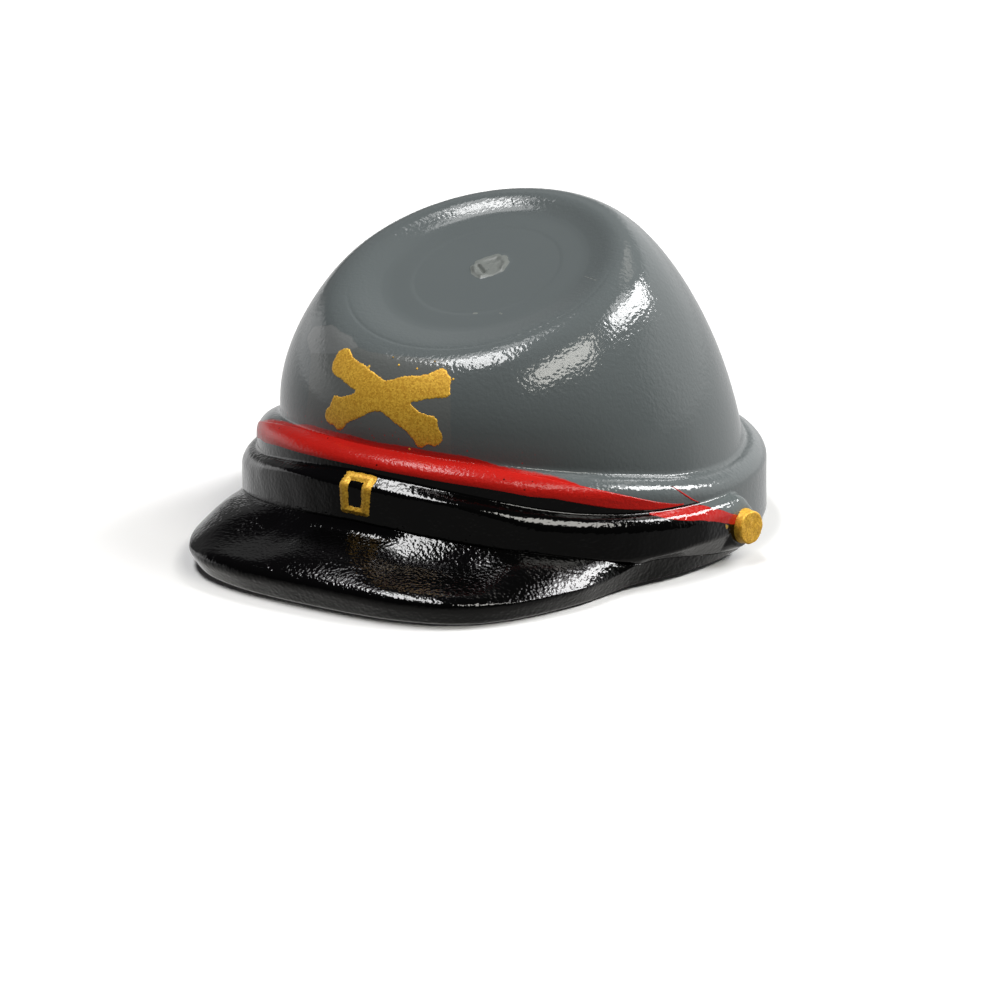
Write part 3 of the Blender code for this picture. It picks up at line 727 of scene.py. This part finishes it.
def strapSections(azimuth):
    # closed sections by azimuth: inner side, underside, face, bevel and ledge
    ledge, face, foot = strapEdges(azimuth)
    scale = np.clip((ledge - foot) / 0.8, 0.02, 1)
    band, outer = collar["bandRadius"], strap["radius"]
    # past the peak the underside slopes back to the low step at the foot of the band
    a = np.abs(azimuth)
    slope = smoothStep(a, 55, 64) * scale
    under = foot - slope * np.clip(foot - fromTable(peakEdge, "highHeight", azimuth), 0, 0.9)
    step = np.maximum(fromTable(peakEdge, "highRadius", azimuth) - 0.015, band + 0.01)
    bevel = scale * (0.3 + 0.7 * smoothStep(a, 20, 45))
    corners = np.stack([polar(azimuth, radius, height) for radius, height in (
        (band - 0.04, under), (band + slope * (step - band), under),
        (outer, foot), (outer, face - strap["edgeDown"] * bevel),
        (outer - strap["edgeIn"] * bevel, face + strap["edgeUp"] * bevel),
        (band + 0.015, ledge), (band - 0.01, ledge + 0.09 * scale), (band - 0.04, ledge + 0.06 * scale))], 1)
    radii = np.outer(scale, [0.01, 0.01, 0.07, 0.14, 0.09, 0.05, 0.005, 0.01])
    return roundedSections(corners, radii, strap["cornerSteps"], strap["sideSteps"]), face, foot


def buildStrap():
    outer, middle = strap["radius"], strap["buttonAzimuth"]
    end = middle + 0.998 * np.degrees(strap["tabRadius"] / outer)
    tab = middle + (end - middle) * np.sin(np.linspace(0, np.pi / 2, 40))
    side = np.concatenate([np.linspace(0, middle, strap["columns"] // 2)[:-1], tab])
    azimuth = np.concatenate([-side[:0:-1], side])
    section, face, foot = strapSections(azimuth)
    section = section[:, ::-1]
    radius = fromAxis(section)
    section[..., :2] *= 1 + (strapWave(azimuth[:, None], section[..., 2], radius) / radius)[..., None]
    # distance from the top edge of the face along the surface
    inward, height = outer - fromAxis(section), section[..., 2]
    across = inward * (height > foot[:, None] + 0.1) + np.minimum(height - face[:, None], 0)
    low, high, bare = (fromTable(sliver, name, azimuth)[:, None] for name in ("low", "high", "bare"))
    spots = np.full(across.shape, -1.0)
    for a, z, size in goldSpots:
        away = np.hypot((azimuth[:, None] - a) * np.pi / 180 * outer, height - z)
        spots = np.maximum(spots, size - away)
    attributes = {"redInside": np.minimum(across - low, high - across),
                  "bareInside": across - bare, "goldInside": spots}
    addTubes("strap_enamel", [section], attributes, strapEnamel, "chin_strap")


# peak

peak = {"end": 98.0, "wall": 0.8, "columns": 560, "cornerRound": 0.2}

# the peak's top over the straight line from the strap to the edge: in front hollow near the
# strap and rounded at the edge, at the sides evenly domed
peakForm = {
    "share": [.06, .25, .45, .7, .92],
    "front": [-.17, -.1, -.01, .095, .105],
    "turned": [-.05, -.15, -.11, .03, .15],
    "side": [.032, .12, .168, .1375, .042],
}

# lower and upper corner of the peak's edge, which runs on past 76 degrees as the band's
# low step
peakEdge = {
    "azimuth": [0, 8, 15, 22, 29, 34, 39, 44, 49, 54, 58, 62, 66, 70, 76, 82, 89, 98],
    "lowRadius": [8.5, 8.55, 8.66, 8.71, 8.56, 8.27, 7.92, 7.55, 7.21,
                  6.84, 6.62, 6.48, 6.43, 6.42, 6.4, 6.37, 6.34, 6.29],
    "lowHeight": [-.23, -.23, -.22, -.21, -.21, -.2, -.18, -.16, -.13, -.1, -.06, -.02, .01, .02, .02, .03, .03, .03],
    "highRadius": [8.88, 8.93, 9.03, 9.07, 8.9, 8.6, 8.24, 7.86, 7.5,
                   7.08, 6.84, 6.7, 6.6, 6.53, 6.46, 6.43, 6.4, 6.34],
    "highHeight": [.4, .38, .34, .32, .31, .31, .32, .33, .34, .37, .43, .53, .56, .53, .44, .33, .2, .08],
}


def buildPeak():
    # sections by azimuth: a line with its dome out to the edge, and a sine's hollow below
    azimuth = np.linspace(-peak["end"], peak["end"], peak["columns"])
    low, lowZ, high, highZ = (fromTable(peakEdge, name, azimuth)
                              for name in ("lowRadius", "lowHeight", "highRadius", "highHeight"))
    inner = collar["bandRadius"] - 0.05
    foot = collarAt("foot", azimuth)
    onPeak = smoothStep(64 - np.abs(azimuth), 0, 9)
    top = (foot + 0.02) * onPeak + (highZ + 0.02) * (1 - onPeak)
    base = np.minimum(strap["radius"] - 0.03, high - 0.02)
    width = high - base
    dome = np.clip(width / 1.2, 0, 1)
    turned, beside = smoothStep(np.abs(azimuth), 6, 14), smoothStep(np.abs(azimuth - 4), 22, 34)
    under = np.maximum(np.minimum(top - peak["wall"], lowZ + 0.6), lowZ + 0.005)
    scale = np.clip(width, 0.06, 1)

    def topAt(share, over=0.0):
        return polar(azimuth, base + width * share, top + (highZ - top) * share + over)

    def underAt(share):
        return polar(azimuth, low + (inner - low) * share,
                     lowZ + (under - lowZ) * share + 0.07 * dome * np.sin(np.pi * share))

    form = [polar(azimuth, inner, under), polar(azimuth, inner, top), topAt(0.0)]
    for share, front, half, side in zip(*peakForm.values()):
        over = (front + (half - front) * turned) * (1 - beside) + side * beside
        form.append(topAt(share, over * dome))
    form += [topAt(1.0), polar(azimuth, low, lowZ), underAt(0.33), underAt(0.66)]
    corners = np.stack(form, 1)
    # the edge's two corners are rounded less as the peak narrows
    radii = np.tile([0.02, 0.02, 0.05, 9, 9, 9, 9, 9, peak["cornerRound"], 0.13, 9, 9], (len(azimuth), 1))
    radii[:, 8:10] *= scale[:, None]
    sections = roundedSections(corners, radii, cornerSteps=11, sideSteps=3)
    addTubes("peak_enamel", [sections], {}, peakEnamel, "peak")


buildStrap()
buildPeak()

# gold paint patches

badge = {
    "height": 0.345,  # origin, as a share of the wall
    "thick": 0.01, "step": 0.0195, "ragged": 0.006,
}

# outline of the crossed cannons, across and up on the wall from the badge's middle
cannons = {
    "across": [0, .2, .5, .8, 1, 1.3, 1.45, 1.6, 1.72, 1.85, 1.95, 2.03, 2.03, 1.95, 1.75, 1.4, 1.1, .95, .93,
               1.05, 1.25, 1.4, 1.6, 1.7, 1.73, 1.82, 1.85, 1.8, 1.68, 1.6, 1.5, 1.4, 1.3, 1.2, 1.12, 1.05,
               .85, .6, .3, .1, -.1, -.3, -.6, -.85, -1, -1.1, -1.2, -1.33, -1.45, -1.6, -1.72, -1.81,
               -1.83, -1.76, -1.67, -1.65, -1.6, -1.3, -1.1, -.92, -.9, -1.15, -1.4, -1.65, -1.9, -2.08,
               -2.19, -2.22, -2.2, -2.07, -1.85, -1.72, -1.55, -1.35, -1, -.7, -.3],
    "up": [.6, .66, .78, .82, .85, .89, .97, 1.03, 1.06, 1, .88, .82, .4, .33, .33, .28, .2, .17, .12,
           .03, -.06, -.1, -.12, -.2, -.38, -.5, -.6, -.73, -.82, -.84, -.8, -.82, -.91, -.93, -.85, -.72,
           -.55, -.42, -.28, -.18, -.19, -.28, -.46, -.58, -.68, -.82, -.9, -.88, -.8, -.8, -.76, -.68,
           -.58, -.46, -.38, -.22, -.11, -.07, 0, .1, .18, .23, .29, .34, .36, .44,
           .6, .78, .9, 1.02, 1.04, 1, .93, .88, .85, .78, .67],
}

# stray specks of gold: across, up and radius
goldSpecks = [(-0.76, 0.84, .04), (0.24, 1.06, .03), (-0.1, 1.26, .025), (0.9, 1.02, .03), (1.42, 1.26, .025),
              (2.1, 0.78, .03), (0.94, -1.00, .03)]

buckle = {
    "width": 0.92,
    "barSide": 0.26, "barLow": 0.19, "barHigh": 0.28,
    "low": 0.19,  # lower edge over the strap's foot
    "high": 1.34,  # upper edge, up the face and over on to the ledge
    "thick": 0.045, "step": 0.016, "ragged": 0.006,
}


def paintPatch(name, field, skin, extent, look, node):
    # a skin of paint: grid points next to the outline are moved on to it, those inside are
    # kept, and a low wall along the outline joins the upper and the lower sheet
    step, thick, nudge = look["step"], look["thick"], 1e-3
    x, y = np.meshgrid(np.arange(*extent[:2], step), np.arange(*extent[2:], step))
    corners = ringFaces(*x.shape).reshape(-1, x.shape[1], 4)[:, :-1].reshape(-1, 4)
    f = field(x, y)
    slope = np.stack([field(x + nudge, y) - field(x - nudge, y),
                      field(x, y + nudge) - field(x, y - nudge)]) / (2 * nudge)
    near = np.abs(f) < 0.62 * step
    move = near * f / np.maximum((slope**2).sum(0), 0.3) * slope
    x, y = (np.stack([x, y]) - np.clip(move, -0.5 * step, 0.5 * step)).reshape(2, -1)
    f = np.where(near, 0.0, f).ravel()
    inside = (f >= 0)[corners]
    quads = corners[inside.all(1)]
    three = inside.sum(1) == 3
    triangles = np.concatenate([np.delete(corners[three & ~inside[:, k]], k, 1) for k in range(4)])
    # an edge that only one face uses is on the outline
    edges = np.concatenate([quads[:, [k, (k + 1) % 4]] for k in range(4)]
                           + [triangles[:, [k, (k + 1) % 3]] for k in range(3)])
    _, first, counts = np.unique(np.sort(edges, 1), axis=0, return_index=True, return_counts=True)
    rim = edges[first[counts == 1]]
    border, used = np.zeros((2, x.size), bool)
    border[rim.ravel()] = True
    used[edges.ravel()] = True
    upper = np.cumsum(used) - 1
    lower = upper + used.sum()
    point, normal = skin(x, y)
    lift = np.where(border, 0.002, thick * smoothStep(f, -step, 2.2 * thick + step))
    points = np.concatenate([(point + lift[:, None] * normal)[used], (point - 0.02 * normal)[used]])
    sides = np.stack([upper[rim[:, 1]], upper[rim[:, 0]], lower[rim[:, 0]], lower[rim[:, 1]]], -1)
    faces = [upper[quads], upper[triangles], lower[quads][:, ::-1], lower[triangles][:, ::-1], sides]
    addPiece(name, points, faces, {}, goldPaint, node)


def wallSkin(across, up):
    # a point of the crown wall, across sideways and up along the wall's front
    shares = np.linspace(0.0, 0.9, 181)
    front = crownWall(0.0, shares)
    length = np.concatenate([[0], np.cumsum(np.linalg.norm(np.diff(front, axis=0), axis=1))])
    share = np.interp(np.interp(badge["height"], shares, length) + up, length, shares)
    azimuth = np.degrees(across / fromAxis(crownWall(0.0, share)))
    side = crownWall(azimuth + 0.5, share) - crownWall(azimuth - 0.5, share)
    rise = crownWall(azimuth, share + 0.01) - crownWall(azimuth, share - 0.01)
    return crownWall(azimuth, share), unit(np.cross(side, rise))


def cannonField(x, y):
    # distance inside the crossed cannons or a stray speck
    best = insidePolygon(x, y, np.stack([cannons["across"], cannons["up"]], 1))
    best = best + badge["ragged"] * (ripple(x, y, 0.3, 21) + ripple(x, y, 0.09, 22))
    for across, up, size in goldSpecks:
        best = np.maximum(best, size - np.hypot(x - across, y - up))
    return best


def strapSkin(across, along):
    # a point of the strap in front, along its section from the face's foot over the bevel and
    # on to the ledge
    azimuth = np.degrees(across / strap["radius"])
    section, _, _ = strapSections(azimuth)
    steps = strap["cornerSteps"] + strap["sideSteps"]
    part = section[:, 2 * steps + strap["cornerSteps"] - 1:5 * steps + 1]
    radius, height = fromAxis(part), part[..., 2]
    runR, runZ = np.diff(radius, axis=1), np.diff(height, axis=1)
    size = np.hypot(runR, runZ)
    length = np.concatenate([0 * size[:, :1], np.cumsum(size, 1)], 1) + 0.07
    k = np.clip((length <= along[:, None]).sum(1) - 1, 0, length.shape[1] - 2)
    at = np.arange(len(azimuth)), k
    runR, runZ, size = runR[at], runZ[at], np.maximum(size[at], 1e-9)
    t = (along - length[at]) / size
    placeR, placeZ = radius[at] + t * runR, height[at] + t * runZ
    placeR += strapWave(azimuth, placeZ, placeR)
    return polar(azimuth, placeR, placeZ), polar(azimuth, runZ / size, -runR / size)


def buckleField(x, y):
    # a frame: inside the outer rectangle with its corners cut, outside the inner one
    half, low, high = buckle["width"] / 2, buckle["low"], buckle["high"]
    holeLow, holeHigh = low + buckle["barLow"], high - buckle["barHigh"]
    x = x / (1 + 0.09 * np.clip((y - 0.75) / 0.6, -1, 1))  # a little wider at the top
    reach, across, up = (high - low) / 2, np.abs(x), np.abs(y - (low + high) / 2)
    outer = np.minimum(half - across, reach - up)
    inner = np.maximum(across - half + buckle["barSide"],
                       np.abs(y - (holeLow + holeHigh) / 2) - (holeHigh - holeLow) / 2)
    rounded = np.minimum(outer, (half + reach - 0.05 - across - up) * 0.7071)
    return np.minimum(rounded, inner) + buckle["ragged"] * (ripple(x, y, 0.3, 31) + ripple(x, y, 0.08, 32))


paintPatch("cannons_gold", cannonField, wallSkin, (-2.5, 2.5, -1.4, 1.4), badge, "cannon_badge")
paintPatch("buckle_gold", buckleField, strapSkin, (-0.6, 0.6, 0.0, 1.5), buckle, "buckle")

# buttons

button = {
    "facing": 83.0,  # the azimuth its face is turned to
    "height": 0.84, "radius": 0.42, "thick": 0.26, "edge": 0.05, "columns": 96,
}


def buildButton(name, side):
    # turned profile round the button's axis: neck, rounded rim and a flat face
    t, thick, edge = np.linspace(0, np.pi / 2, 10), button["thick"], button["edge"]
    rim = np.stack([thick - edge + edge * np.sin(t), 1 - edge / button["radius"] * (1 - np.cos(t))], 1)
    foot = [[-0.14, 1.04], [0.0, 1.05], [0.05, 1.03], [0.1, 1.0], [0.16, 1.0]]
    profile = np.concatenate([foot, rim, [[thick, share] for share in (0.8, 0.6, 0.4, 0.2, 0.05)]])
    lift, share = profile.T[..., None]
    out = polar(side * button["facing"], 1.0, 0.0)
    centre = polar(side * strap["buttonAzimuth"], strap["radius"] + 0.02, button["height"])
    a = (np.arange(button["columns"]) * 2 * np.pi / button["columns"])[:, None]
    ring = np.cos(a) * np.cross(zAxis, out) + np.sin(a) * zAxis
    uneven = 0.008 * ripple(ring[:, 2] * share * 0.4, ring[:, 1] * share * 0.4, 0.3, 41) * (lift > 0.18)
    grid = centre + lift[..., None] * out + (button["radius"] * share)[..., None] * ring + uneven[..., None] * out
    addTubes(name + "_gold", [grid], {}, goldPaint, name)


buildButton("button_left", 1)
buildButton("button_right", -1)

# floor, light and camera

view = {
    "azimuth": 35.2,  # the camera, seen from the rim plane
    "elevation": 16.86,
    "distance": 420.0, "pixelsPerMm": 40.0, "originPixel": (512.0, 516.5),
    "imageSize": 1000.0, "sensor": 36.0,
}


def lookFrom(azimuth, elevation):
    # direction of a place seen from the cap, and the level one to its right
    a, e = np.radians([azimuth, elevation])
    return polar(azimuth, np.cos(e), np.sin(e)), np.array([np.cos(a), np.sin(a), 0.0])


cameraData = bpy.data.cameras.new("camera")
camera = bpy.context.scene.camera = addObject("camera", cameraData)
toCamera, right = lookFrom(view["azimuth"], view["elevation"])
above = np.cross(toCamera, right)
aside, down = view["imageSize"] / 2 - np.array(view["originPixel"])
eye = (right * aside - above * down) / view["pixelsPerMm"] + toCamera * view["distance"]
axes = (toFrame([right, above, toCamera]) - toFrame(np.zeros(3))) / millimetre
camera.matrix_world = Matrix.Translation(toFrame(eye)) @ Matrix(axes.T.tolist()).to_4x4()
cameraData.sensor_width = view["sensor"]
cameraData.lens = view["sensor"] * view["distance"] * view["pixelsPerMm"] / view["imageSize"]
cameraData.clip_start, cameraData.clip_end = 0.02, 20.0

floorMesh = bpy.data.meshes.new("floor")
floorMesh.from_pydata([(-3, -3, 0), (3, -3, 0), (3, 3, 0), (-3, 3, 0)], [], [(0, 1, 2, 3)])
floorMesh.materials.append(setShader(newMaterial("white_card"), {
    "Base Color": hexColour("#f4f4f4"), "Roughness": 0.8, "Specular IOR Level": 0.1}))
floor = addObject("floor", floorMesh)
# the cap reflects the dim room, not the brightly lit card
floor.visible_glossy = floor.visible_diffuse = False

# Studio, as brightness by direction: a pale backdrop low behind the cap, a fainter one above
# it, a dim room in front, and below the horizon the table, dim towards the camera.
studio = {
    "toward": (-0.5, 0.866, 0.0),
    "tableToward": (-0.26, 0.966, 0.0),
    "top": 0.3, "rise": 0.2,  # sine of the backdrop's height at the sides, and its rise behind
    "flagToward": (-0.68, 0.64, 0.36),  # a dark flag in front of the backdrop
}

# brightness of the studio's parts, as red, green and blue where tinted
brightness = {
    "flag": 0.12, "backdrop": 0.98, "backdropHigh": 0.2, "room": 0.02, "roomLeft": (0.022, 0.02, 0.024),
    "tableFront": (0.11, 0.108, 0.105), "tableBack": 0.7, "tableRight": 0.28,
    "underFront": (0.25, 0.245, 0.235), "underBack": (0.6, 0.59, 0.57),
}

world = bpy.context.scene.world = bpy.data.worlds.new("studio")
world.use_nodes = True
direction = addNode(world, "TexCoord", {})["Generated"]
parts = addNode(world, "SeparateXYZ", {"Vector": direction})
facing, facingTable, flagged = (
    addNode(world, "VectorMath", {0: direction, 1: studio[name]}, operation="DOT_PRODUCT")["Value"]
    for name in ("toward", "tableToward", "flagToward"))
height = addNode(world, "Math", {0: parts["Y"], 1: -studio["rise"], 2: parts["Z"]}, operation="MULTIPLY_ADD")[0]
# each mask: what it reads, where it is 0 and where it is 1
masks = {}
for name, source, low, high in (
        ("beside", facing, -0.05, 0.4), ("beyond", facingTable, -0.45, 0.6),
        ("flagged", flagged, 0.9, 0.95), ("behind", parts["Y"], 0.45, 0.6),
        ("low", height, studio["top"] + 0.06, studio["top"] - 0.06), ("left", parts["X"], 0.08, 0.02),
        ("right", parts["X"], 0.55, 0.8), ("steep", parts["Z"], -0.33, -0.55), ("down", parts["Z"], 0.0, -0.04)):
    masks[name] = addNode(world, "MapRange", {"Value": source, "From Min": low, "From Max": high})["Result"]
masks["pale"] = addNode(world, "Math", {0: masks["beside"], 1: masks["low"]}, operation="MULTIPLY")[0]
# each tone: the mask, the tone where it is 0 and the tone where it is 1
tones = {name: (*np.broadcast_to(value, 3).tolist(), 1.0) for name, value in brightness.items()}
for name, mask, first, second in (
        ("roomTone", "left", "room", "roomLeft"), ("roomBehind", "behind", "roomTone", "backdropHigh"),
        ("backdropTone", "flagged", "backdrop", "flag"), ("upper", "pale", "roomBehind", "backdropTone"),
        ("farTable", "right", "tableBack", "tableRight"), ("nearTable", "beyond", "tableFront", "farTable"),
        ("underTable", "beside", "underFront", "underBack"), ("table", "steep", "nearTable", "underTable"),
        ("all", "down", "upper", "table")):
    tones[name] = addNode(world, "Mix", {0: masks[mask], 6: tones[first], 7: tones[second]}, data_type="RGBA")[2]
setInputs(world, world.node_tree.nodes["Background"], {"Color": tones["all"]})
bpy.context.scene.view_settings.view_transform = "Standard"

# softboxes: azimuth, elevation, width, height and turn in degrees seen from the cap,
# brightness as a multiple of display white, and colour
softboxes = {
    "right": (140, 39, 33, 13, -30, 14.0), "right_high": (134, 51.5, 20, 11, 0, 3.2),
    "side": (74, 48.5, 34, 13, 0, 7.4, "#fdfbf4"), "top": (-54, 75, 34, 12, 6, 12.0),
    "top_left": (-108, 64, 14, 10, 0, 2.8), "back": (-176, 51, 26, 9, 0, 1.0, "#fff9f0"),
}


def addSoftbox(name, azimuth, elevation, width, height, turn, brightness, colour="#ffffff", distance=3.0):
    # a rectangle facing the cap, sized by its angles at that distance in metres
    data = bpy.data.lights.new(name, "AREA")
    data.shape = "RECTANGLE"
    data.size, data.size_y = 2 * distance * np.tan(np.radians([width / 2, height / 2]))
    data.energy = 4 * data.size * data.size_y * brightness
    data.color = hexColour(colour)[:3]
    out, side = lookFrom(azimuth, elevation)
    across = side * np.cos(np.radians(turn)) + np.cross(out, side) * np.sin(np.radians(turn))
    turned = Matrix(np.stack([across, np.cross(out, across), out], 1).tolist())
    addObject(name, data).matrix_world = Matrix.Translation(out * distance) @ turned.to_4x4()


for name, values in softboxes.items():
    addSoftbox("softbox_" + name, *values)
print("studio made")

print("scene ready")
